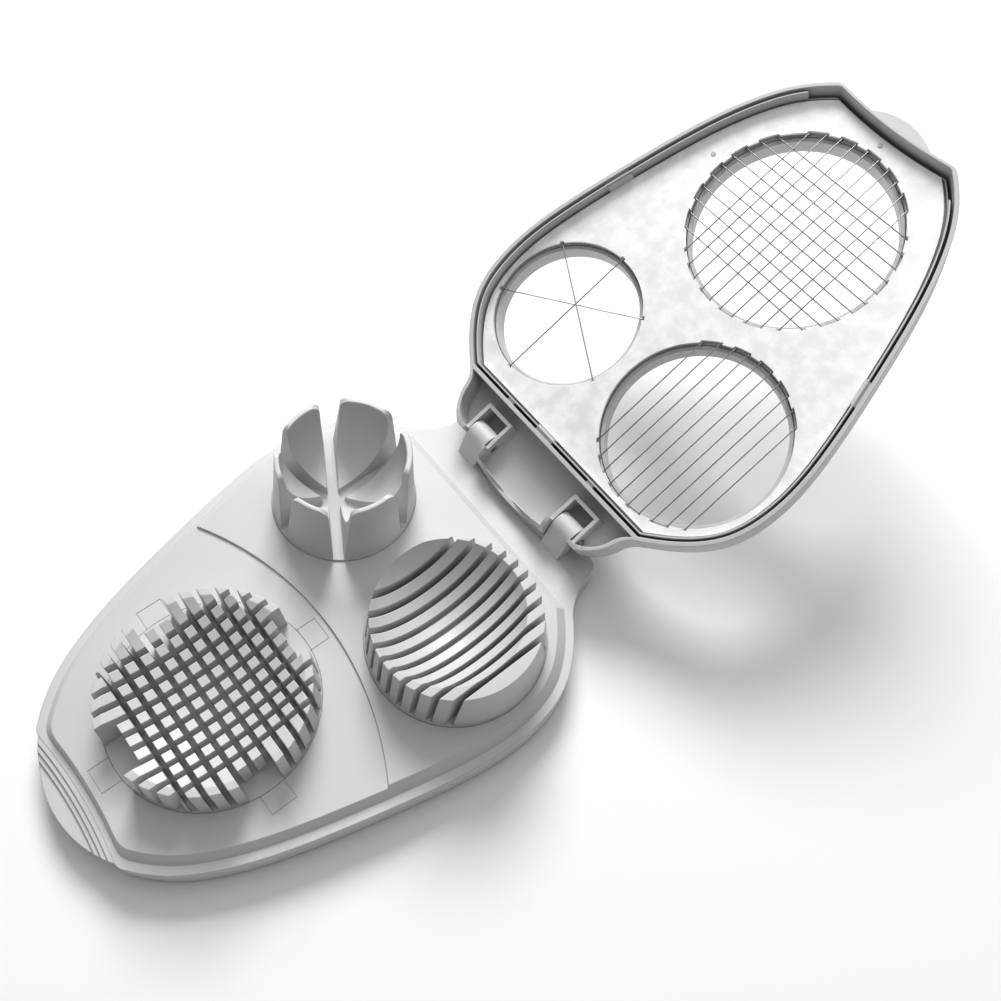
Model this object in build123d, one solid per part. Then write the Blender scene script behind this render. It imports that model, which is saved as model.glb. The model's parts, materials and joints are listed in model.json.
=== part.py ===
from build123d import *
import os
from math import cos, radians, sin, sqrt

os.makedirs("parts", exist_ok=True)

# Three-way egg slicer: a moulded base with three anvils and a wired lid on a hinge.
# Frame: origin on the table under the middle of the base, +X along the hinge axis,
# -Y towards the finger grip, +Z up. Lengths in mm, angles in degrees.
# "reach" is a distance from the hinge axis towards the grip.

# --- overall sizes -------------------------------------------------------------
grip_reach = 175.0          # hinge axis to the grip's outer edge
wing_reach = -2.5           # hinge axis to the wing's rear edge, behind it
rear_reach = 13.8           # hinge axis to the straight rear wall of base and lid
tip_reach = 166.2           # hinge axis to the middle of the hollow tip edge
tip_corner_x, tip_corner_reach = 24.3, 168.0
tip_round = 4.0
hinge_y = (grip_reach + wing_reach) / 2
open_angle = 154.7          # from closed to the stop, where the part is kept

# --- levels above the table ----------------------------------------------------
deck_z = 14.5               # deck round the wedger and the slicer
deck_drop = 0.8             # the dicer's deck lies this much lower
ledge_z = deck_z - 3.5      # ledge that the lid's rim comes down on
hinge_z = deck_z + 4.0
plate_z = deck_z + 1.0      # underside of the wire plate, lid closed
lid_top_z = deck_z + 9.8    # outer face of the lid, lid closed

# --- walls and clearances --------------------------------------------------------
wall = 2.0                  # base skirt and ribs
deck_wall = 1.8
lid_wall, lid_tip_wall = 1.5, 1.0
lid_skin, flap_skin = 1.9, 3.6
rest_gap = 0.3              # closed rim over the ledge
fit_gap = 0.08              # insert in its seat
run_gap = 0.4               # beside the hinge barrels
swing_gap = 0.35            # between parts that pass each other on the hinge
ledge_width, tip_ledge_width = 2.8, 1.8
step_width, tip_step_width = 3.0, 1.7

# --- lid layers -------------------------------------------------------------------
plate_thick = 0.8
plate_inset, plate_tip_inset = 3.9, 2.9
rib_outer, rib_inner = 2.5, 3.05
rib_drop = 3.6              # carrier rib below the plate's underside
carrier_thick = 2.2
wire_r = 0.2
wire_lift = 0.3             # lowest wire's centre above the plate's underside
wire_step = 0.45            # from one crossing layer of wires to the next
wire_hook = 0.35            # a wire turns up this far outside its opening
wire_end_z = plate_z + 2.0
collar_end_z = plate_z + 2.5
collar_inset, collar_wall = 1.5, 1.35
tab_gap = 0.05              # carrier's side tabs to the lid's rim

# --- the three cutters: centre x, centre reach, opening radius ----------------------
wedger = (-34.0, 50.7, 26.5)
slicer = (28.8, 51.5, 31.4)
dicer = (0.5, 122.2, 35.0)
foot_inset = 2.4            # opening radius less the anvil's foot radius
wire_count = 10
slicer_pitch = 4.68
dicer_pitch = 4.8
dicer_wire_x, dicer_wire_reach = 0.9, 121.35
slot_width = 1.8
foot_rise = 0.6             # wedger's and slicer's feet above the deck, and their slot floors
wedger_height, slicer_height, dicer_height = 25.5, 18.0, 14.5
wedger_hub = (-34.2, 55.1)   # where the wedger's wires and slots cross
wedger_angles = (90, 30, 150)
wedger_lean = 2.0           # the cup's top leans this far towards the hinge

# --- hinge ---------------------------------------------------------------------------
barrel_x, barrel_width, barrel_r = 22.6, 8.6, 4.3
pin_r, pin_fit = 1.5, 0.05
pin_start, pin_end = 16.6, 29.8
cheek = 1.4
pocket_reach = 8.8
pocket_skin = 1.2
tongue_lip = 8.6            # lip behind the hinge axis, in the middle
tongue_lip_side = 7.0       # and at its two ends

# Half widths of base and lid at distances from the hinge axis.
side_points = [
    (42.6, rear_reach), (50.5, 20.0), (60.2, 30.5), (66.2, 53.0), (62.9, 80.0),
    (55.3, 110.0), (45.3, 140.0), (33.3, 160.0), (tip_corner_x, tip_corner_reach),
]


def at(reach):
    """Y of a place this far from the hinge axis, towards the grip."""
    return hinge_y - reach


def prism(face, low, high):
    return Pos(0, 0, low) * extrude(face, high - low, dir=(0, 0, 1))


def block(x0, x1, y0, y1, z0, z1):
    return Pos((x0 + x1) / 2, (y0 + y1) / 2, (z0 + z1) / 2) * Box(x1 - x0, y1 - y0, z1 - z0)


def disc(centre, radius, low, high):
    x, reach = centre[:2]
    return Pos(x, at(reach), (low + high) / 2) * Cylinder(radius, high - low)


def both_sides(shape):
    return shape + mirror(shape, about=Plane.YZ)


def one(shape):
    """The single solid of a shape."""
    solids = shape.solids()
    if len(solids) != 1:
        raise ValueError(f"{len(solids)} solids where one was meant: "
                         f"{[round(s.volume, 2) for s in solids]}")
    return solids[0]


# --- outlines ------------------------------------------------------------------------

def tip_circle():
    """Centre reach and radius of the hollow tip edge."""
    sagitta = tip_corner_reach - tip_reach
    radius = (tip_corner_x ** 2 + sagitta ** 2) / (2 * sagitta)
    return tip_reach + radius, radius


def body_face(inset=0.0, tip_inset=None, corner=None):
    """Outline of base and lid, drawn in by inset, and at the tip by tip_inset."""
    tip_inset = inset if tip_inset is None else tip_inset
    side = Spline(*[(x, at(reach)) for x, reach in side_points])
    steps, run = 12, 8.0
    points = []
    for i in range(steps + 1):
        way = side % (i / steps)
        points.append(side @ (i / steps) + Vector(way.Y, -way.X) * inset)
    points.insert(0, points[0] - (side % 0) * run)
    points.append(points[-1] + (side % 1) * run)
    right = Spline(*points)
    left = mirror(right, about=Plane.YZ)
    face = make_face([right, Line(right @ 1, left @ 1), left, Line(left @ 0, right @ 0)])
    face -= Pos(0, at(rear_reach + inset) + 50) * Rectangle(300, 100)
    tip_y, radius = tip_circle()
    face -= Pos(0, at(tip_y)) * Circle(radius + tip_inset)
    face = face.faces().sort_by(SortBy.AREA)[-1]
    corners = face.vertices().sort_by(Axis.Y)[:2]
    return fillet(corners, corner or max(tip_round - inset, 0.8)).face()


def ring_face(outer, inner, tip_outer=None, tip_inner=None):
    return body_face(outer, tip_outer) - body_face(inner, tip_inner)


def wing_face(inset=0.0):
    """Outline of the wing that carries the hinge barrels, its notch cut out."""
    rear, front = at(wing_reach) - inset, at(rear_reach + 2.5)
    half = 36.6 - inset
    side = ThreePointArc((half, rear), (39.6 - inset, at(8.0)), (45.6 - inset, front))
    other = mirror(side, about=Plane.YZ)
    face = make_face([side, Line(side @ 1, other @ 1), other, Line(other @ 0, side @ 0)])
    face = fillet(face.vertices().sort_by(Axis.Y)[-2:], 4.0 - inset / 2).face()
    return face - notch_face(inset)


def notch_face(grow=0.0):
    """Opening in the wing that the lid's lip swings down into."""
    half = 17.9 + grow
    edge = ThreePointArc((-half, at(5.6 + grow)), (0, at(6.9 + grow)), (half, at(5.6 + grow)))
    back = at(wing_reach) + 10
    return make_face([edge, Line(edge @ 1, (half, back)), Line((half, back), (-half, back)),
                      Line((-half, back), edge @ 0)])


def front_deck_face():
    """Everything in front of the arc step between the two decks."""
    edge = ThreePointArc((-80, at(117.5)), (0, at(81.0)), (80, at(117.5)))
    return make_face([edge, Line(edge @ 1, (80, at(190))), Line((80, at(190)), (-80, at(190))),
                      Line((-80, at(190)), edge @ 0)])


# --- base --------------------------------------------------------------------------------

def grip():
    """Finger grip: a thin crescent past the tip, with three steps along the tip edge."""
    top, thick, tread, rise = deck_z - 5.5, 2.6, 1.4, 0.7
    half, reach = 26.0, tip_corner_reach - 2.5
    edge = ThreePointArc((-half, at(reach)), (0, at(grip_reach)), (half, at(reach)))
    crescent = make_face([edge, Line(edge @ 1, edge @ 0)])
    shape = prism(crescent, top - thick, top)
    tip_y, radius = tip_circle()
    for i in range(3):
        band = crescent - Pos(0, at(tip_y)) * Circle(radius - tread * (3 - i))
        shape += prism(band, top, top + rise * (i + 1) - (0.2 if i == 2 else 0.0))
    return shape


def hinge_hook():
    """Barrel about the hinge axis on a leg that rises from the wing."""
    drop = hinge_z - ledge_z
    leg = make_face(Polyline((-7.3, -drop - 1), (-7.3, -drop), (-4.1, 1.2), (0, 0), (-1.2, -4.2),
                             (-2.0, -drop), (-2.0, -drop - 1), close=True))
    profile = leg + Circle(barrel_r) - Circle(pin_r + pin_fit)
    plane = Plane(origin=(barrel_x - barrel_width / 2, hinge_y, hinge_z),
                  x_dir=(0, 1, 0), z_dir=(1, 0, 0))
    return extrude(plane * profile, barrel_width)


def clip_mark():
    """Fine square outlines in the deck on the four sides of the dicer."""
    x, reach, radius = dicer
    size, groove, depth = 8.5, 0.25, 0.15
    out = radius - foot_inset + size / 2 - 2.0
    frame = Rectangle(size, size) - Rectangle(size - 2 * groove, size - 2 * groove)
    marks = None
    for dx, dy in ((-out, 0), (out, 0), (0, -out), (0, out)):
        mark = prism(Pos(x + dx, at(reach) + dy) * frame, deck_z - deck_drop - depth, deck_z + 1)
        marks = mark if marks is None else marks + mark
    return marks


def base_shell():
    front_z = deck_z - deck_drop
    under_z = front_z - deck_wall
    shell = prism(body_face(), 0, ledge_z)
    shell += loft([Pos(0, 0, ledge_z) * body_face(ledge_width, tip_ledge_width, 7.0),
                   Pos(0, 0, deck_z) * body_face(ledge_width + step_width,
                                                 tip_ledge_width + tip_step_width, 8.0)],
                  ruled=True)
    shell += prism(wing_face(), 0, ledge_z)
    shell += grip()
    shell -= prism(front_deck_face(), front_z, deck_z + 1)
    shell -= prism(body_face(wall), -1, ledge_z - deck_wall)
    shell -= prism(body_face(8.5, 6.5, 6.0), ledge_z - 3, under_z)
    hollow = wing_face(wall) - Pos(0, at(rear_reach) - 50) * Rectangle(200, 100)
    shell -= prism(hollow, -1, ledge_z - deck_wall)
    inside = body_face(wall / 2)
    rib_z = ledge_z - 2.5
    for rib in (Rectangle(200, wall), Pos(0, -60) * Rectangle(wall, 120),
                Pos(-4.6, 60) * Rectangle(wall, 120)):
        shell += prism(rib & inside, 0, rib_z)
    for centre in (wedger, slicer, dicer):
        shell -= disc(centre, centre[2] - foot_inset + fit_gap, rib_z + 0.2, deck_z + 1)
        shell -= disc(centre, centre[2] - foot_inset + 1.8, rib_z + 0.2, under_z)
    shell -= clip_mark()
    shell += both_sides(hinge_hook())
    return one(shell)


# --- anvils --------------------------------------------------------------------------------

def anvil_body(centre, height, draft, top_z, rise=foot_rise, lean=0.0):
    """Drafted round body on a foot that fits the deck, with a flange under the deck."""
    x, reach, opening = centre
    foot, under_z = opening - foot_inset, deck_z - deck_drop - deck_wall
    body = disc(centre, foot, under_z - 1.2, top_z + rise)
    body += disc(centre, foot + 1.5, under_z - 1.2, under_z)
    low, high = foot - 0.3, foot - 0.3 - draft
    body += loft([Pos(x, at(reach), top_z) * Circle(low),
                  Pos(x, at(reach) + lean, top_z + height) * Circle(high)], ruled=True)
    return body - disc(centre, foot - 5, under_z - 2, under_z)


def petal_slot(skew):
    """Slot that widens upwards, its upper corners rounded, its top shifted by skew."""
    low, high, corner = 1.8, 3.4, 3.0
    floor, top, over = foot_rise, wedger_height, wedger_height + 2.0
    left, right = skew - high, skew + high
    turn = corner * (1 - sqrt(0.5))
    edges = [
        Line((-low, floor), (low, floor)),
        Line((low, floor), (right, top - corner)),
        ThreePointArc((right, top - corner), (right + turn, top - turn), (right + corner, top)),
        Line((right + corner, top), (right + corner, over)),
        Line((right + corner, over), (left - corner, over)),
        Line((left - corner, over), (left - corner, top)),
        ThreePointArc((left - corner, top), (left - turn, top - turn), (left, top - corner)),
        Line((left, top - corner), (-low, floor)),
    ]
    return make_face(edges)


def wedger_anvil():
    """Deep cup cut into six petals by three slots that open upwards."""
    x, reach, opening = wedger
    height, bowl_r, bowl_z = wedger_height, 20.0, deck_z + 2.4
    cup = anvil_body(wedger, height, 2.0, deck_z, lean=wedger_lean)
    middle = Pos(x, at(reach) + wedger_lean * 0.9, bowl_z + bowl_r)
    cup -= middle * Sphere(bowl_r)
    cup -= middle * Pos(0, 0, height / 2) * Cylinder(bowl_r, height)
    cup = fillet(cup.edges().group_by(Axis.Z)[-1], 0.5)
    for angle, skew in ((0, 0.0), (60, 2.2), (-60, -2.2)):
        way = Vector(cos(radians(angle)), sin(radians(angle)), 0)
        plane = Plane(origin=(wedger_hub[0], at(wedger_hub[1]) + 0.3, deck_z), x_dir=way,
                      z_dir=(way.Y, -way.X, 0))
        cup -= extrude(plane * petal_slot(skew), 2 * opening, both=True)
    return one(cup)


def slicer_anvil():
    """Round anvil with a dish and slots for ten parallel wires."""
    x, reach, opening = slicer
    dish_half, dish_depth = 24.0, 13.5
    dish_r = (dish_half ** 2 + dish_depth ** 2) / (2 * dish_depth)
    top = deck_z + slicer_height
    body = anvil_body(slicer, slicer_height, 2.2, deck_z)
    body -= Pos(x - 3.0, at(reach) - 1.3, top - dish_depth + dish_r) * Sphere(dish_r)
    for step in spread(slicer_pitch):
        body -= block(x + step - slot_width / 2, x + step + slot_width / 2,
                      at(reach) - opening, at(reach) + opening, deck_z + foot_rise, top + 1)
    return one(body)


def dicer_anvil():
    """Field of square posts with a dished top, between slots for crossed wires."""
    x, reach, opening = dicer
    low = deck_z - deck_drop
    top = low + dicer_height
    dish_r, dish_half = 62.0, 29.0
    body = anvil_body(dicer, dicer_height, 0.9, low, rise=0.0)
    lift = sqrt(dish_r ** 2 - dish_half ** 2)
    body -= Pos(x, at(reach), top + lift) * Sphere(dish_r)
    half = slot_width / 2
    for step in spread(dicer_pitch):
        mid = dicer_wire_x + step
        body -= block(mid - half, mid + half, at(reach + opening), at(reach - opening), low,
                      top + 1)
        mid = at(dicer_wire_reach) + step + 0.2
        body -= block(x - opening, x + opening, mid - half, mid + half, low, top + 1)
    edge = 25.9
    for side in (-1, 1):
        body -= Pos(dicer_wire_x + side * (edge + 10), at(dicer_wire_reach + 2.4), top) * Box(
            20, 8.3, 2 * dicer_height)
        body -= Pos(dicer_wire_x, at(dicer_wire_reach) + side * (edge + 10), top) * Box(
            13.0, 20, 2 * dicer_height)
    return one(body)


# --- wires -----------------------------------------------------------------------------------

def strung_wire(start, finish, level):
    """Wire between two hooks: up at each end, level between."""
    z = plate_z + wire_lift + level * wire_step
    (x0, y0), (x1, y1) = start, finish
    path = FilletPolyline((x0, y0, wire_end_z), (x0, y0, z), (x1, y1, z), (x1, y1, wire_end_z),
                          radius=0.4 if level < 2 else 0.3)
    section = Plane(origin=path @ 0, z_dir=path % 0) * Circle(wire_r)
    return one(sweep(section, path))


def chord(radius, offset):
    """Half the distance between the hooks of a wire this far off the centre."""
    return sqrt(radius ** 2 - offset ** 2) + wire_hook


def long_wire(centre, x, level):
    half = chord(centre[2], x - centre[0])
    return strung_wire((x, at(centre[1]) - half), (x, at(centre[1]) + half), level)


def cross_wire(centre, y, level):
    half = chord(centre[2], y - at(centre[1]))
    return strung_wire((centre[0] - half, y), (centre[0] + half, y), level)


def spread(pitch):
    return [(i - (wire_count - 1) / 2) * pitch for i in range(wire_count)]


def wedger_wire(angle, level):
    """Wire across the wedger's opening through the hub, at this angle from +X."""
    dx, dy = cos(radians(angle)), sin(radians(angle))
    hub_x, hub_y = wedger_hub[0], at(wedger_hub[1])
    off_x, off_y = hub_x - wedger[0], hub_y - at(wedger[1])
    along = off_x * dx + off_y * dy
    half = chord(wedger[2], off_x * dy - off_y * dx)
    ends = [(hub_x + (run - along) * dx, hub_y + (run - along) * dy) for run in (-half, half)]
    return strung_wire(*ends, level)


def wires():
    made = {}
    for i, angle in enumerate(wedger_angles):
        made[f"wedger_wire_{i + 1}"] = wedger_wire(angle, i)
    for i, step in enumerate(spread(slicer_pitch)):
        made[f"slicer_wire_{i + 1:02d}"] = long_wire(slicer, slicer[0] + step, 0)
    for i, step in enumerate(spread(dicer_pitch)):
        made[f"dicer_long_wire_{i + 1:02d}"] = long_wire(dicer, dicer_wire_x + step, 0)
        made[f"dicer_cross_wire_{i + 1:02d}"] = cross_wire(dicer, at(dicer_wire_reach) + step, 1)
    return made


# --- lid ----------------------------------------------------------------------------------------

def notch_strips(centre, middle, pitch, along_x):
    """Strips for the notches that take the wires' hooks, in pairs, staggered end to end."""
    x, reach, opening = centre
    strips, margin = [], 0.6
    offsets = spread(pitch)
    near = [(offsets[i], offsets[i + 1]) for i in range(0, wire_count, 2)]
    far = [(offsets[i], offsets[i + 1]) for i in range(1, wire_count - 1, 2)]
    far += [(offsets[0], offsets[0]), (offsets[-1], offsets[-1])]
    for side, pairs in ((-1, near), (1, far)):
        for low, high in pairs:
            mid, width = middle + (low + high) / 2, high - low + 2 * margin
            if along_x:
                strips.append(Pos(x + side * opening, mid) * Rectangle(opening, width))
            else:
                strips.append(Pos(mid, at(reach) + side * opening) * Rectangle(width, opening))
    return strips


def opening_face(centre, strips):
    """Round opening in the wire plate with shallow notches round its edge."""
    x, reach, opening = centre
    spot = Pos(x, at(reach))
    face = spot * Circle(opening)
    band = spot * (Circle(opening + wire_hook + wire_r + 0.2) - Circle(opening - 1))
    for strip in strips:
        face += strip & band
    return face


def wire_plate():
    sheet = body_face(plate_inset, plate_tip_inset)
    stubs = [Pos(wedger_hub[0], at(wedger_hub[1])) * Rot(0, 0, angle) * Rectangle(150, 1.5)
             for angle in wedger_angles]
    sheet -= opening_face(wedger, stubs)
    sheet -= opening_face(slicer, notch_strips(slicer, slicer[0], slicer_pitch, False))
    sheet -= opening_face(dicer, notch_strips(dicer, dicer_wire_x, dicer_pitch, False)
                          + notch_strips(dicer, at(dicer_wire_reach), dicer_pitch, True))
    for x, reach in peg_spots:
        sheet -= Pos(x, at(reach)) * Circle(peg_r)
    return one(prism(sheet, plate_z, plate_z + plate_thick))


peg_spots = [(-39.5, 124.5), (0.0, 161.0)]
peg_r = 0.8


def bridge_face():
    """Places where the carrier reaches across to the lid's rim."""
    rear, deep = at(rear_reach + lid_wall), rib_outer - lid_wall + 0.2
    small = Pos(0, rear - deep / 2)
    face = Pos(-5.5, rear - 1.1) * Rectangle(8.0, 2.2)
    face += small * Pos(-23.0, 0) * Rectangle(3.0, deep)
    face += small * Pos(18.0, 0) * Rectangle(3.0, deep)
    tabs = Pos(0, at(96.0)) * Rectangle(200, 9.0)
    return face + (ring_face(lid_wall + tab_gap, plate_inset) & tabs)


def wire_carrier():
    """Thin frame behind the wire plate, with a rib round the plate's edge."""
    low = plate_z + plate_thick
    high = low + carrier_thick
    frame = prism(body_face(rib_outer, plate_tip_inset - 0.6), low, high)
    rib = ring_face(rib_outer, rib_inner) - Pos(0, at(159.0) - 50) * Rectangle(200, 100)
    frame += prism(rib, plate_z - rib_drop, low)
    frame -= prism(ring_face(rib_inner, plate_inset, plate_tip_inset - 0.2, plate_tip_inset),
                   low - 1, high - 0.7)
    frame += prism(bridge_face(), plate_z - rib_drop + 0.9, high)
    for centre in (wedger, slicer, dicer):
        frame -= disc(centre, centre[2] + 0.05, low - 1, high + 1)
        frame -= disc(centre, centre[2] + wire_hook + wire_r + 0.4, low - 1, wire_end_z)
    for x, reach in peg_spots:
        frame += disc((x, reach), peg_r, plate_z - 0.2, low + 0.5)
    return one(frame)


def ear_face(inset=0.0):
    """Outline of the flap behind the lid's rear wall, lip and ears included."""
    lip, lip_side = hinge_y + tongue_lip - inset, hinge_y + tongue_lip_side - inset
    inner = barrel_x - barrel_width / 2 - run_gap - inset
    back = hinge_y + 2.8 - inset
    right = [Line((inner, lip_side), (inner, back)), Line((inner, back), (30.6 - inset, back)),
             ThreePointArc((30.6 - inset, back), (36.2 - inset, at(2.6)), (38.6 - inset, at(7.2))),
             ThreePointArc((38.6 - inset, at(7.2)), (40.4 - inset, at(11.6)),
                           (44.3 - inset, at(rear_reach + 1.2)))]
    left = [mirror(edge, about=Plane.YZ) for edge in right]
    lip_edge = ThreePointArc((-inner, lip_side), (0, lip), (inner, lip_side))
    front = Line(right[-1] @ 1, left[-1] @ 1)
    return make_face(right + left + [lip_edge, front])


def lid_flap():
    """Hinge flap: skin, lip, ears, and the walled pockets that the barrels sit in."""
    rim_z = ledge_z + rest_gap
    solid = prism(ear_face(), rim_z, lid_top_z)
    rear = Pos(0, at(rear_reach) - 50) * Rectangle(300, 100)
    solid -= prism(ear_face(lid_wall) - rear, rim_z - 1, lid_top_z - flap_skin)
    outer = barrel_x + barrel_width / 2 + run_gap
    inner = barrel_x - barrel_width / 2 - run_gap
    pocket = block(inner, outer, at(pocket_reach), hinge_y + 9, rim_z - 2,
                   lid_top_z - pocket_skin)
    box = block(inner - cheek, outer + cheek, at(pocket_reach + cheek), hinge_y + 2.8,
                deck_z + 0.2, lid_top_z - pocket_skin)
    box += block(inner - cheek, inner, hinge_y, hinge_y + 6.6, deck_z + 0.2, lid_top_z - 1)
    swing = Pos(0, hinge_y, hinge_z) * Rot(0, 90, 0) * Cylinder(7.15, 120)
    behind = block(inner - cheek - 0.01, 50, hinge_y, hinge_y + 12, rim_z - 2, lid_top_z + 1)
    solid += both_sides(box)
    solid -= both_sides(pocket)
    solid -= both_sides(behind - swing)
    lip_low = block(-inner, inner, hinge_y, hinge_y + 12, rim_z - 2, hinge_z - 1.0)
    return solid - (lip_low - swing)


def lid_frame():
    rim_z = ledge_z + rest_gap
    skin_z = lid_top_z - lid_skin
    outer = prism(body_face(), rim_z, lid_top_z)
    crown = [e for e in outer.faces().sort_by(Axis.Z)[-1].edges() if e.center().Y < at(20)]
    outer = fillet(crown, 1.5)
    tab_low = lid_top_z - 2.6
    edge = ThreePointArc((-21, at(165.0)), (-1, at(175.5)), (19, at(165.0)))
    outer += prism(make_face([edge, Line(edge @ 1, edge @ 0)]), tab_low, lid_top_z)
    outer -= prism(body_face(lid_wall, lid_tip_wall), rim_z - 1, skin_z)
    outer += lid_flap()
    for x, reach in post_spots:
        outer += disc((x, reach), 2.2, plate_z + plate_thick + carrier_thick, skin_z + 0.5)
    for centre in (wedger, slicer, dicer):
        inner = centre[2] - collar_inset
        outer += disc(centre, inner + collar_wall, collar_end_z, skin_z + 0.5)
        outer -= disc(centre, inner, collar_end_z - 1, lid_top_z + 1)
    bore = Rot(0, 90, 0) * Cylinder(pin_r, 2 * pin_end)
    outer -= Pos(0, hinge_y, hinge_z) * bore
    return one(outer)


post_spots = [(0.0, 22.0), (-36.0, 21.5), (-50.0, 86.0), (50.0, 92.0), (0.0, 161.0),
              (-34.0, 151.0), (34.0, 151.0), (-3.0, 83.5)]


def hinge_pin(side):
    length = pin_end - pin_start
    pin = Pos(side * (pin_start + pin_end) / 2, hinge_y, hinge_z) * Rot(0, 90, 0) * Cylinder(
        pin_r, length)
    return chamfer(pin.edges().filter_by(GeomType.CIRCLE), 0.3)


def swung(shape):
    """A closed lid's piece, turned about the hinge axis to where it is kept."""
    axis = Axis((0, hinge_y, hinge_z), (1, 0, 0))
    return shape.rotate(axis, -open_angle)


def main():
    pieces = {
        "base_shell": base_shell(),
        "wedger_anvil": wedger_anvil(),
        "slicer_anvil": slicer_anvil(),
        "dicer_anvil": dicer_anvil(),
    }
    lid = {
        "lid_frame": lid_frame(),
        "wire_carrier": wire_carrier(),
        "wire_plate": wire_plate(),
        "hinge_pin_left": hinge_pin(-1),
        "hinge_pin_right": hinge_pin(1),
    }
    lid.update(wires())
    for name, shape in lid.items():
        pieces[name] = swung(shape)
    for name, shape in pieces.items():
        export_step(shape, f"parts/{name}.step")


main()
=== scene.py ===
import json
import math

import bpy
from mathutils import Matrix, Vector


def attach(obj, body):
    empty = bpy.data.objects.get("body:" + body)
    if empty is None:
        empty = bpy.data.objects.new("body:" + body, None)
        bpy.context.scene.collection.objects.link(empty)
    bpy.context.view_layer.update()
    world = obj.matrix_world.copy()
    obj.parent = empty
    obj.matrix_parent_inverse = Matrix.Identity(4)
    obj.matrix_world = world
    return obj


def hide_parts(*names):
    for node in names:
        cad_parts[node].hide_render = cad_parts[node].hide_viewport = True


bl_info = {
    "name": "Egg Cutter Finishes",
    "version": (1, 0, 0),
    "blender": (4, 5, 0),
    "location": "3D View > Sidebar > Egg Cutter",
    "description": "Moulded plastic, satin plate and strung wires for a three-way egg cutter",
    "category": "Object",
}

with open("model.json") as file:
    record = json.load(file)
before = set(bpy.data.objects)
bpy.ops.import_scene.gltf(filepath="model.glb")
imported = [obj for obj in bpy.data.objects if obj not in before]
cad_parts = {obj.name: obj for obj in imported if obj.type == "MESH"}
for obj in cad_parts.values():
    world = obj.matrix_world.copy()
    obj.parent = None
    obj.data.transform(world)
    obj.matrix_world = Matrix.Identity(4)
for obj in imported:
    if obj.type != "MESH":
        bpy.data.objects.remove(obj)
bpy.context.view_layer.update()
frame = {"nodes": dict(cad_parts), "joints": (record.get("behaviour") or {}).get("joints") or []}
HINGE = frame["joints"][0]
AXIS_POINT = Vector(HINGE["pos_m"])
OPEN_ANGLE = math.radians(HINGE["range_deg"][1])
MM = 0.001
WEDGER = (-34.0, 50.7, 26.5)     # opening: centre x, distance from the hinge, radius, in mm
SLICER = (28.8, 51.5, 31.4)
DICER = (0.5, 122.2, 35.0)
HUB_OFFSET = Vector((-0.2, -4.4)) * MM    # wedger wires' crossing, from its opening's centre
LONG_SHIFT, CROSS_SHIFT = 0.4 * MM, 0.85 * MM    # dicer's wires off its opening's centre
WIRE_STEP = 0.45 * MM            # from one layer of crossing wires to the next
HOOK_REACH = 0.35 * MM           # hooks turn up this far outside an opening
HOOK_TOP = 17.5 * MM             # hooks' ends over the table with the lid closed
BEND = 0.4 * MM
DECK, FRONT_DECK, LEDGE = 14.5 * MM, 13.7 * MM, 11.0 * MM
FLOOR_DROP = 0.4 * MM            # keeps the floor from flickering in the resting face


# --- shader maths ---------------------------------------------------------------------

class Val:
    """A socket that can be written in sums."""

    def __init__(self, shade, socket):
        self.shade, self.socket = shade, socket

    def _maths(self, operation, *others):
        return self.shade.add("ShaderNodeMath", {"operation": operation},
                              {i: v for i, v in enumerate(others)})

    def __add__(self, other): return self._maths("ADD", self, other)
    def __radd__(self, other): return self._maths("ADD", other, self)
    def __sub__(self, other): return self._maths("SUBTRACT", self, other)
    def __rsub__(self, other): return self._maths("SUBTRACT", other, self)
    def __mul__(self, other): return self._maths("MULTIPLY", self, other)
    def __rmul__(self, other): return self._maths("MULTIPLY", other, self)
    def __abs__(self): return self._maths("ABSOLUTE", self)

    def span(self, low, high, out_low=0.0, out_high=1.0):
        """Smooth step from out_low at low to out_high at high."""
        return self.shade.add("ShaderNodeMapRange", {"interpolation_type": "SMOOTHSTEP"},
                              {"Value": self, "From Min": low, "From Max": high,
                               "To Min": out_low, "To Max": out_high})


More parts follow.
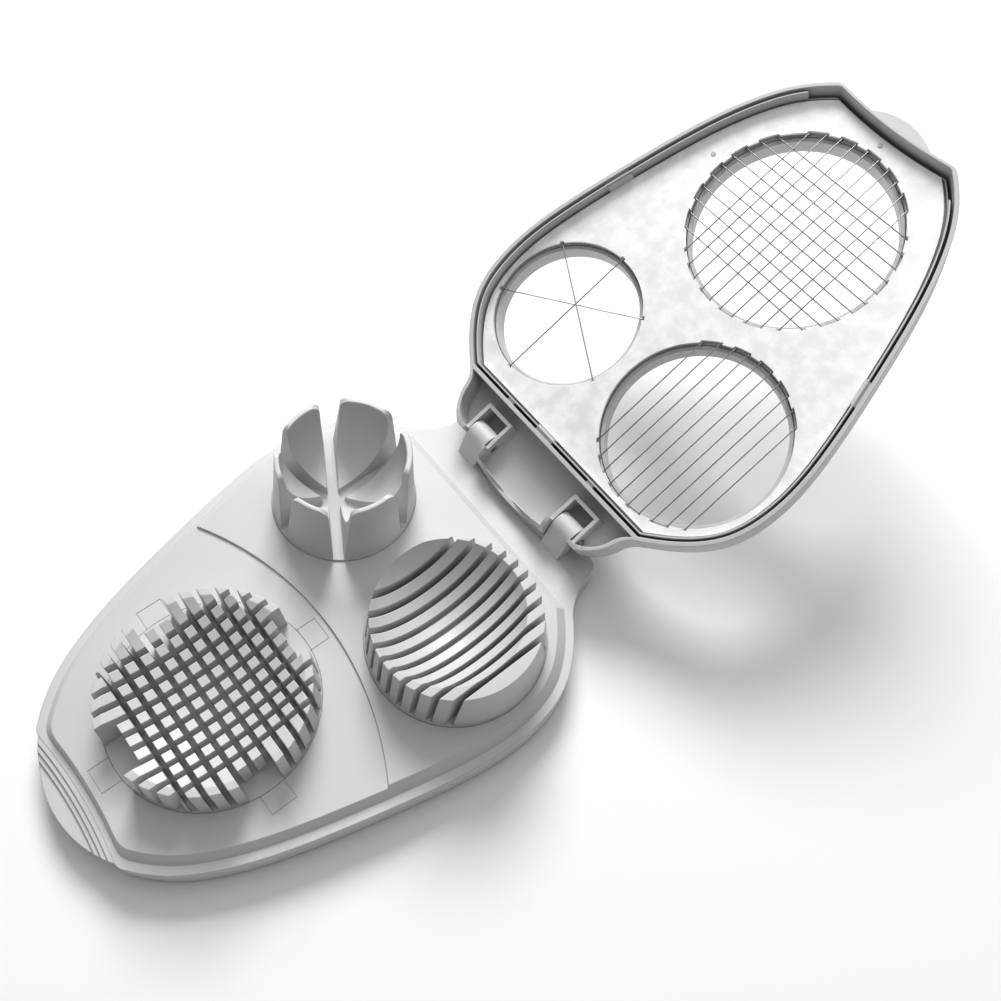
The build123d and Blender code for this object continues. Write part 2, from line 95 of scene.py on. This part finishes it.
class Shade:
    """One material and the nodes that are added to it."""

    def __init__(self, name):
        self.material = bpy.data.materials.new(name)
        self.material.use_nodes = True
        self.nodes = self.material.node_tree.nodes
        self.links = self.material.node_tree.links
        self.surface = self.nodes["Principled BSDF"]
        self.place = Val(self, self.nodes.new("ShaderNodeTexCoord").outputs["Object"])

    def add(self, kind, settings=None, inputs=None, output=0):
        node = self.nodes.new(kind)
        for key, value in (settings or {}).items():
            setattr(node, key, value)
        for key, value in (inputs or {}).items():
            self.give(node.inputs[key], value)
        return Val(self, node.outputs[output])

    def give(self, socket, value):
        if isinstance(value, Val):
            self.links.new(value.socket, socket)
        else:
            socket.default_value = value

    def noise(self, size, detail=2.0, roughness=0.5, place=None):
        """Soft noise from 0 to 1 with blobs of about this size, in metres."""
        return self.add("ShaderNodeTexNoise", {}, {"Vector": place or self.place,
                        "Scale": 1.0 / size, "Detail": detail, "Roughness": roughness})

    def mix(self, factor, first, second):
        """Colour between two others."""
        node = self.nodes.new("ShaderNodeMix")
        node.data_type = "RGBA"
        self.give(node.inputs["Factor"], factor)
        self.give([s for s in node.inputs if s.name == "A" and s.type == "RGBA"][0], first)
        self.give([s for s in node.inputs if s.name == "B" and s.type == "RGBA"][0], second)
        return Val(self, [s for s in node.outputs if s.type == "RGBA"][0])

    def distance(self, point):
        """Distance from a point in the row frame, in metres."""
        return self.add("ShaderNodeVectorMath", {"operation": "DISTANCE"},
                        {0: self.place, 1: point}, output="Value")

    def relief(self, height, depth, edge=0.0, strength=1.0):
        """Normal from a height, with sharp edges eased over a radius."""
        inputs = {"Height": height, "Distance": depth, "Strength": strength}
        if edge:
            inputs["Normal"] = self.add("ShaderNodeBevel", {"samples": 6}, {"Radius": edge})
        return self.add("ShaderNodeBump", {}, inputs)

    def finish(self, **sockets):
        for name, value in sockets.items():
            self.give(self.surface.inputs[name.replace("_", " ").title().replace("Ior", "IOR")],
                      value)
        return self.material


def dab(colour, factor=1.0):
    return (colour[0] * factor, colour[1] * factor, colour[2] * factor, 1.0)


# --- materials ---------------------------------------------------------------------------

def ring_marks(shade, spots):
    """Height of the faint rings that ejector pins leave, at (point, radius) spots."""
    total = 0.0
    for point, radius in spots:
        ring = abs(shade.distance(point) - radius).span(0.0, 0.00022, 1.0, 0.0)
        total = ring + total
    return total


def moulded_plastic(name, colour, edge, marks=(), gloss=0.46):
    """Satin moulded plastic: faint flow shading, fine grain, eased edges."""
    shade = Shade(name)
    flow = shade.noise(0.045, 2.0, 0.45)
    grain = shade.noise(0.0011, 3.0, 0.6)
    tone = shade.mix(flow.span(0.3, 0.7), dab(colour, 0.975), dab(colour, 1.02))
    tone = shade.mix(grain.span(0.62, 0.8, 0.0, 0.25), tone, dab(colour, 0.93))
    height = grain * 0.35
    if marks:
        height = height + ring_marks(shade, marks)
    normal = shade.relief(height, 0.00006, edge, 0.6)
    return shade.finish(base_color=tone, normal=normal,
                        roughness=grain.span(0.2, 0.8, gloss - 0.05, gloss + 0.07),
                        metallic=0.0, coat_weight=0.06)


def satin_plate(name, colour, edge):
    """Bright satin metal sheet with soft clouding and a few fine scuffs."""
    shade = Shade(name)
    cloud = shade.noise(0.006, 4.0, 0.55)
    fleck = shade.noise(0.0013, 3.0, 0.65)
    tone = shade.mix(cloud.span(0.35, 0.68), dab(colour, 0.92), dab(colour, 1.03))
    tone = shade.mix(fleck.span(0.58, 0.78, 0.0, 0.5), tone, dab(colour, 0.84))
    rough = cloud.span(0.3, 0.7, 0.42, 0.54) + fleck.span(0.5, 0.8, 0.0, 0.06)
    normal = shade.relief(cloud * 0.6 + fleck * 0.5, 0.00010, edge, 0.5)
    return shade.finish(base_color=tone, metallic=0.12, roughness=rough, normal=normal)


def drawn_steel(name, colour, across):
    """Drawn or turned steel with fine lines; across is the direction over the lines."""
    shade = Shade(name)
    place = shade.add("ShaderNodeMapping", {}, {"Vector": shade.place, "Scale": across})
    line = shade.noise(0.0006, 3.0, 0.6, place)
    tone = shade.mix(line.span(0.3, 0.7), dab(colour, 0.85), dab(colour, 1.1))
    return shade.finish(base_color=tone, metallic=0.9, roughness=line.span(0.2, 0.8, 0.26, 0.42),
                        normal=shade.relief(line, 0.00002, 0.0, 0.5))


def floor_paint(name, colour):
    """Plain pale studio sweep."""
    shade = Shade(name)
    haze = shade.noise(0.25, 2.0, 0.4)
    tone = shade.mix(haze, dab(colour, 0.995), dab(colour, 1.0))
    return shade.finish(base_color=tone, roughness=0.75, specular_ior_level=0.1)


# --- helpers --------------------------------------------------------------------------------

def opened(x, reach, z):
    """Row-frame place at rest of a point given in the closed lid, all in metres."""
    turn = Matrix.Rotation(-OPEN_ANGLE, 3, "X")
    return AXIS_POINT + turn @ Vector((x, -reach, z - AXIS_POINT.z))


def dress(node, material):
    """Gives a CAD node its material."""
    data = frame["nodes"][node].data
    data.materials.clear()
    data.materials.append(material)


def settings(context):
    return context.scene.egg_cutter_sizes, context.scene.egg_cutter_colours


def baked(maker, name):
    """Plain mesh object from the maker's Geometry Nodes result."""
    depsgraph = bpy.context.evaluated_depsgraph_get()
    data = bpy.data.meshes.new_from_object(maker.evaluated_get(depsgraph))
    data.name = name
    piece = bpy.data.objects.new(name, data)
    bpy.context.scene.collection.objects.link(piece)
    spare = maker.data
    bpy.data.objects.remove(maker)
    bpy.data.meshes.remove(spare)
    return piece


class Tree:
    """A Geometry Nodes tree under construction."""

    def __init__(self, name):
        self.group = bpy.data.node_groups.new(name, "GeometryNodeTree")
        self.sockets = {}
        self.group.interface.new_socket("Geometry", in_out="OUTPUT",
                                        socket_type="NodeSocketGeometry")

    def input(self, name, kind, default):
        item = self.group.interface.new_socket(name, in_out="INPUT",
                                               socket_type=f"NodeSocket{kind}")
        if default is not None:
            item.default_value = default
        self.sockets[name] = item.identifier
        return item

    def start(self):
        self.inputs = self.group.nodes.new("NodeGroupInput").outputs
        return self.inputs

    def add(self, kind, settings=None, inputs=None):
        node = self.group.nodes.new(kind)
        for key, value in (settings or {}).items():
            setattr(node, key, value)
        for key, value in (inputs or {}).items():
            socket = node.inputs[key]
            if isinstance(value, bpy.types.NodeSocket):
                self.group.links.new(value, socket)
            else:
                socket.default_value = value
        return node.outputs

    def maths(self, operation, first, second=0.0):
        return self.add("ShaderNodeMath", {"operation": operation}, {0: first, 1: second})[0]

    def end(self, geometry):
        out = self.group.nodes.new("NodeGroupOutput")
        self.group.links.new(geometry, out.inputs[0])
        return self.group


def wire_set_tree():
    """Parallel wires over a round opening, each as long as its chord, hooked at both ends."""
    tree = Tree("Strung Wire Set")
    for name, kind, default in (
            ("Count", "Int", 10), ("Pitch", "Float", 4.8 * MM), ("Shift", "Float", 0.0),
            ("Opening Radius", "Float", 35 * MM), ("Hook Reach", "Float", HOOK_REACH),
            ("Hook Height", "Float", 1.7 * MM), ("Bend Radius", "Float", BEND),
            ("Wire Radius", "Float", 0.2 * MM), ("Material", "Material", None)):
        tree.input(name, kind, default)
    given = tree.start()
    middle = tree.maths("MULTIPLY", tree.maths("SUBTRACT", given["Count"], 1.0),
                        tree.maths("MULTIPLY", given["Pitch"], -0.5))
    first = tree.add("ShaderNodeCombineXYZ", {}, {"X": tree.maths("ADD", middle, given["Shift"])})
    step = tree.add("ShaderNodeCombineXYZ", {}, {"X": given["Pitch"]})
    row = tree.add("GeometryNodeMeshLine", {}, {"Count": given["Count"],
                   "Start Location": first[0], "Offset": step[0]})[0]
    staple = tree.add("GeometryNodeCurvePrimitiveLine", {"mode": "POINTS"},
                      {"Start": (0.0, -1.0, 0.0), "End": (0.0, 1.0, 0.0)})[0]
    staple = tree.add("GeometryNodeResampleCurve", {}, {"Curve": staple, "Count": 4})[0]
    placed = tree.add("GeometryNodeInstanceOnPoints", {}, {"Points": row, "Instance": staple})[0]
    curves = tree.add("GeometryNodeRealizeInstances", {}, {"Geometry": placed})[0]
    spot = tree.add("ShaderNodeSeparateXYZ", {}, {0: tree.add("GeometryNodeInputPosition")[0]})
    square = tree.maths("SUBTRACT", tree.maths("MULTIPLY", given["Opening Radius"],
                                               given["Opening Radius"]),
                        tree.maths("MULTIPLY", spot[0], spot[0]))
    half = tree.maths("ADD", tree.maths("SQRT", square), given["Hook Reach"])
    along = tree.maths("MULTIPLY", tree.maths("SIGN", spot[1]), half)
    outer = tree.maths("GREATER_THAN", tree.maths("ABSOLUTE", spot[1]), 0.5)
    lift = tree.maths("MULTIPLY", outer, given["Hook Height"])
    target = tree.add("ShaderNodeCombineXYZ", {}, {"X": spot[0], "Y": along, "Z": lift})[0]
    curves = tree.add("GeometryNodeSetPosition", {}, {"Geometry": curves, "Position": target})[0]
    curves = tree.add("GeometryNodeFilletCurve", {}, {"Curve": curves})[0]
    fillet = curves.node
    if "Mode" in fillet.inputs:
        fillet.inputs["Mode"].default_value = "Poly"
    else:
        fillet.mode = "POLY"
    fillet.inputs["Count"].default_value = 5
    tree.group.links.new(given["Bend Radius"], fillet.inputs["Radius"])
    ring = tree.add("GeometryNodeCurvePrimitiveCircle", {},
                    {"Resolution": 12, "Radius": given["Wire Radius"]})[0]
    mesh = tree.add("GeometryNodeCurveToMesh", {}, {"Curve": curves, "Profile Curve": ring,
                                                    "Fill Caps": True})[0]
    mesh = tree.add("GeometryNodeSetShadeSmooth", {}, {"Geometry": mesh})[0]
    mesh = tree.add("GeometryNodeRealizeInstances", {}, {"Geometry": mesh})[0]
    mesh = tree.add("GeometryNodeSetMaterial", {}, {"Geometry": mesh,
                                                    "Material": given["Material"]})[0]
    return tree, tree.end(mesh)


def string_wires(name, nodes, centre, level, turn, values, material):
    """One set of wires from the shared tree, laid in the opened lid."""
    tree, group = WIRES.get("tree") or WIRES.setdefault("tree", wire_set_tree())
    maker = bpy.data.objects.new(name + "_maker", bpy.data.meshes.new(name + "_maker"))
    bpy.context.scene.collection.objects.link(maker)
    modifier = maker.modifiers.new("Wires", "NODES")
    modifier.node_group = group
    for key, value in values.items():
        modifier[tree.sockets[key]] = value
    modifier[tree.sockets["Material"]] = material
    piece = baked(maker, name)
    x, reach = centre[:2]
    place = Matrix.Translation(opened(x * MM, reach * MM, level))
    piece.data.transform(place @ Matrix.Rotation(-OPEN_ANGLE, 4, "X")
                         @ Matrix.Rotation(turn, 4, "Z"))
    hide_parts(*nodes)
    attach(piece, "lid")
    return piece


WIRES = {}


# --- what a user may change --------------------------------------------------------------

class EggCutterSizes(bpy.types.PropertyGroup):
    wire_radius: bpy.props.FloatProperty(
        name="Wire Radius", description="Radius of the cutting wires",
        default=0.2 * MM, min=0.1 * MM, max=0.4 * MM, unit="LENGTH", precision=5)
    slicer_pitch: bpy.props.FloatProperty(
        name="Slicer Pitch", description="From one slicing wire to the next",
        default=4.68 * MM, min=4.0 * MM, max=5.5 * MM, unit="LENGTH", precision=5)
    dicer_pitch: bpy.props.FloatProperty(
        name="Dicer Pitch", description="From one dicing wire to the next",
        default=4.8 * MM, min=4.0 * MM, max=5.5 * MM, unit="LENGTH", precision=5)
    edge: bpy.props.FloatProperty(
        name="Eased Edge", description="Radius over which moulded edges are eased",
        default=0.45 * MM, min=0.0, max=1.0 * MM, unit="LENGTH", precision=5)
    floor_size: bpy.props.FloatProperty(
        name="Floor Size", description="Side of the studio floor",
        default=6.0, min=1.0, max=20.0, unit="LENGTH")
    wires_from_deck: bpy.props.FloatProperty(
        name="Wire Level", description="Lowest wires over the table with the lid closed",
        default=15.8 * MM, min=15.0 * MM, max=17.0 * MM, unit="LENGTH", precision=5)


class EggCutterColours(bpy.types.PropertyGroup):
    plastic: bpy.props.FloatVectorProperty(
        name="Plastic", description="Colour of the base, the anvils and the lid",
        default=(0.64, 0.64, 0.64), size=3, subtype="COLOR", min=0.0, max=1.0)
    plate: bpy.props.FloatVectorProperty(
        name="Plate", description="Colour of the wire plate",
        default=(0.94, 0.94, 0.945), size=3, subtype="COLOR", min=0.0, max=1.0)
    steel: bpy.props.FloatVectorProperty(
        name="Steel", description="Colour of the wires and the pins",
        default=(0.34, 0.34, 0.35), size=3, subtype="COLOR", min=0.0, max=1.0)
    floor: bpy.props.FloatVectorProperty(
        name="Floor", description="Colour of the studio floor",
        default=(0.93, 0.93, 0.93), size=3, subtype="COLOR", min=0.0, max=1.0)


# --- operators -------------------------------------------------------------------------------

class EGGCUTTER_OT_base(bpy.types.Operator):
    """Finish the moulded base"""
    bl_idname = "eggcutter.base"
    bl_label = "Base"

    def execute(self, context):
        sizes, colours = settings(context)
        hinge = AXIS_POINT.y
        marks = [((-6 * MM, hinge - 73 * MM, DECK), 0.9 * MM),
                 ((32 * MM, hinge - 13 * MM, LEDGE), 3.6 * MM),
                 ((5 * MM, hinge - 89 * MM, FRONT_DECK), 0.45 * MM),
                 ((-21 * MM, hinge - 94.5 * MM, FRONT_DECK), 0.45 * MM)]
        dress("base_shell", moulded_plastic("Base Plastic", colours.plastic, sizes.edge, marks))
        return {"FINISHED"}


class EGGCUTTER_OT_anvils(bpy.types.Operator):
    """Finish the wedger, the slicer and the dicer"""
    bl_idname = "eggcutter.anvils"
    bl_label = "Anvils"

    def execute(self, context):
        sizes, colours = settings(context)
        plastic = moulded_plastic("Anvil Plastic", colours.plastic, sizes.edge, gloss=0.42)
        for node in ("wedger_anvil", "slicer_anvil", "dicer_anvil"):
            dress(node, plastic)
        return {"FINISHED"}


class EGGCUTTER_OT_lid(bpy.types.Operator):
    """Finish the lid's frame and the wire carrier"""
    bl_idname = "eggcutter.lid"
    bl_label = "Lid"

    def execute(self, context):
        sizes, colours = settings(context)
        mark = (tuple(opened(1 * MM, 0.5 * MM, 22.2 * MM)), 3.0 * MM)
        dress("lid_frame", moulded_plastic("Lid Plastic", colours.plastic, sizes.edge, [mark]))
        dress("wire_carrier", moulded_plastic("Carrier Plastic", colours.plastic,
                                              sizes.edge * 0.5, gloss=0.5))
        return {"FINISHED"}


class EGGCUTTER_OT_plate(bpy.types.Operator):
    """Finish the metal wire plate"""
    bl_idname = "eggcutter.plate"
    bl_label = "Wire Plate"

    def execute(self, context):
        sizes, colours = settings(context)
        dress("wire_plate", satin_plate("Satin Plate", colours.plate, sizes.edge * 0.5))
        return {"FINISHED"}


class EGGCUTTER_OT_pins(bpy.types.Operator):
    """Finish the hinge pins"""
    bl_idname = "eggcutter.pins"
    bl_label = "Hinge Pins"

    def execute(self, context):
        _, colours = settings(context)
        steel = drawn_steel("Pin Steel", colours.steel, (3.0, 0.3, 0.3))
        for node in ("hinge_pin_left", "hinge_pin_right"):
            dress(node, steel)
        return {"FINISHED"}


class EGGCUTTER_OT_wires(bpy.types.Operator):
    """String the cutting wires over the three openings"""
    bl_idname = "eggcutter.wires"
    bl_label = "Wires"

    def execute(self, context):
        sizes, colours = settings(context)
        steel = drawn_steel("Wire Steel", colours.steel, (1.0, 0.15, 1.0))
        low = sizes.wires_from_deck
        common = {"Wire Radius": sizes.wire_radius, "Hook Reach": HOOK_REACH,
                  "Bend Radius": BEND}
        for i, angle in enumerate((90, 30, 150)):
            level = low + i * WIRE_STEP
            way = math.radians(angle)
            shift = HUB_OFFSET.x * math.sin(way) - HUB_OFFSET.y * math.cos(way)
            string_wires(f"wedger_wire_strung_{i + 1}", [f"wedger_wire_{i + 1}"], WEDGER,
                         level, way - math.pi / 2, {
                             "Count": 1, "Pitch": sizes.dicer_pitch, "Shift": shift,
                             "Opening Radius": WEDGER[2] * MM, "Hook Height": HOOK_TOP - level,
                             **common}, steel)
        ten = [f"{i:02d}" for i in range(1, 11)]
        string_wires("slicer_wires_strung", [f"slicer_wire_{i}" for i in ten], SLICER,
                     low, 0.0, {
                         "Count": 10, "Pitch": sizes.slicer_pitch, "Shift": 0.0,
                         "Opening Radius": SLICER[2] * MM, "Hook Height": HOOK_TOP - low,
                         **common}, steel)
        string_wires("dicer_long_wires_strung", [f"dicer_long_wire_{i}" for i in ten],
                     DICER, low, 0.0, {
                         "Count": 10, "Pitch": sizes.dicer_pitch, "Shift": LONG_SHIFT,
                         "Opening Radius": DICER[2] * MM, "Hook Height": HOOK_TOP - low,
                         **common}, steel)
        string_wires("dicer_cross_wires_strung", [f"dicer_cross_wire_{i}" for i in ten],
                     DICER, low + WIRE_STEP, math.radians(90), {
                         "Count": 10, "Pitch": sizes.dicer_pitch, "Shift": CROSS_SHIFT,
                         "Opening Radius": DICER[2] * MM,
                         "Hook Height": HOOK_TOP - low - WIRE_STEP,
                         **common}, steel)
        return {"FINISHED"}


def add_light(name, spot, aim, size, power, colour=(1.0, 1.0, 1.0)):
    light = bpy.data.lights.new(name, "AREA")
    light.shape, light.size, light.energy, light.color = "DISK", size, power, colour
    lamp = bpy.data.objects.new(name, light)
    lamp.location = spot
    lamp.rotation_euler = (Vector(aim) - Vector(spot)).to_track_quat("-Z", "Y").to_euler()
    bpy.context.scene.collection.objects.link(lamp)
    return lamp


class EGGCUTTER_OT_stage(bpy.types.Operator):
    """Set the floor, the lights and the camera"""
    bl_idname = "eggcutter.stage"
    bl_label = "Stage"

    def execute(self, context):
        sizes, colours = settings(context)
        scene = context.scene
        half = sizes.floor_size / 2
        data = bpy.data.meshes.new("studio_floor")
        corners = [(-half, -half), (half, -half), (half, half), (-half, half)]
        data.from_pydata([(x, y, -FLOOR_DROP) for x, y in corners], [], [(0, 1, 2, 3)])
        floor = bpy.data.objects.new("studio_floor", data)
        scene.collection.objects.link(floor)
        data.materials.append(floor_paint("Studio Floor", colours.floor))
        add_light("key", (-1.00, 0.78, 1.12), (0.0, 0.06, 0.0), 0.8, 27.0)
        add_light("top", (-0.1, 0.35, 1.6), (0.0, 0.05, 0.0), 1.5, 7.0)
        world = bpy.data.worlds.new("Soft Room")
        world.use_nodes = True
        sky = world.node_tree.nodes["Background"]
        sky.inputs["Color"].default_value = (1.0, 1.0, 1.0, 1.0)
        sky.inputs["Strength"].default_value = 0.30
        scene.world = world
        scene.view_settings.view_transform = "Standard"
        scene.view_settings.gamma = 0.8
        camera_data = bpy.data.cameras.new("camera")
        camera_data.sensor_width, camera_data.lens = 36.0, 35.34
        camera_data.clip_start = 0.01
        camera = bpy.data.objects.new("camera", camera_data)
        right = Vector((0.62727, 0.77607, 0.06526))
        up = Vector((-0.70130, 0.52641, 0.48069))
        back = right.cross(up)
        turn = Matrix((right, up, back)).transposed().to_4x4()
        camera.matrix_world = Matrix.Translation((0.11273, AXIS_POINT.y - 0.12588, 0.30809)) @ turn
        scene.collection.objects.link(camera)
        scene.camera = camera
        return {"FINISHED"}


class EGGCUTTER_PT_panel(bpy.types.Panel):
    """Pieces of the egg cutter"""
    bl_idname = "EGGCUTTER_PT_panel"
    bl_label = "Egg Cutter"
    bl_space_type = "VIEW_3D"
    bl_region_type = "UI"
    bl_category = "Egg Cutter"

    def draw(self, context):
        sizes, colours = settings(context)
        for group in (sizes, colours):
            for name in group.__annotations__:
                self.layout.prop(group, name)
        for maker in MAKERS:
            self.layout.operator(maker.bl_idname)


MAKERS = (EGGCUTTER_OT_base, EGGCUTTER_OT_anvils, EGGCUTTER_OT_lid, EGGCUTTER_OT_plate,
          EGGCUTTER_OT_pins, EGGCUTTER_OT_wires, EGGCUTTER_OT_stage)
CLASSES = (EggCutterSizes, EggCutterColours, *MAKERS, EGGCUTTER_PT_panel)


def register():
    for item in CLASSES:
        bpy.utils.register_class(item)
    bpy.types.Scene.egg_cutter_sizes = bpy.props.PointerProperty(type=EggCutterSizes)
    bpy.types.Scene.egg_cutter_colours = bpy.props.PointerProperty(type=EggCutterColours)


def unregister():
    del bpy.types.Scene.egg_cutter_colours
    del bpy.types.Scene.egg_cutter_sizes
    for item in reversed(CLASSES):
        bpy.utils.unregister_class(item)


def main():
    register()
    for maker in MAKERS:
        group, name = maker.bl_idname.split(".")
        result = getattr(getattr(bpy.ops, group), name)()
        if "FINISHED" not in result:
            raise RuntimeError(f"{maker.bl_label} did not finish")


if __name__ == "__main__":
    main()
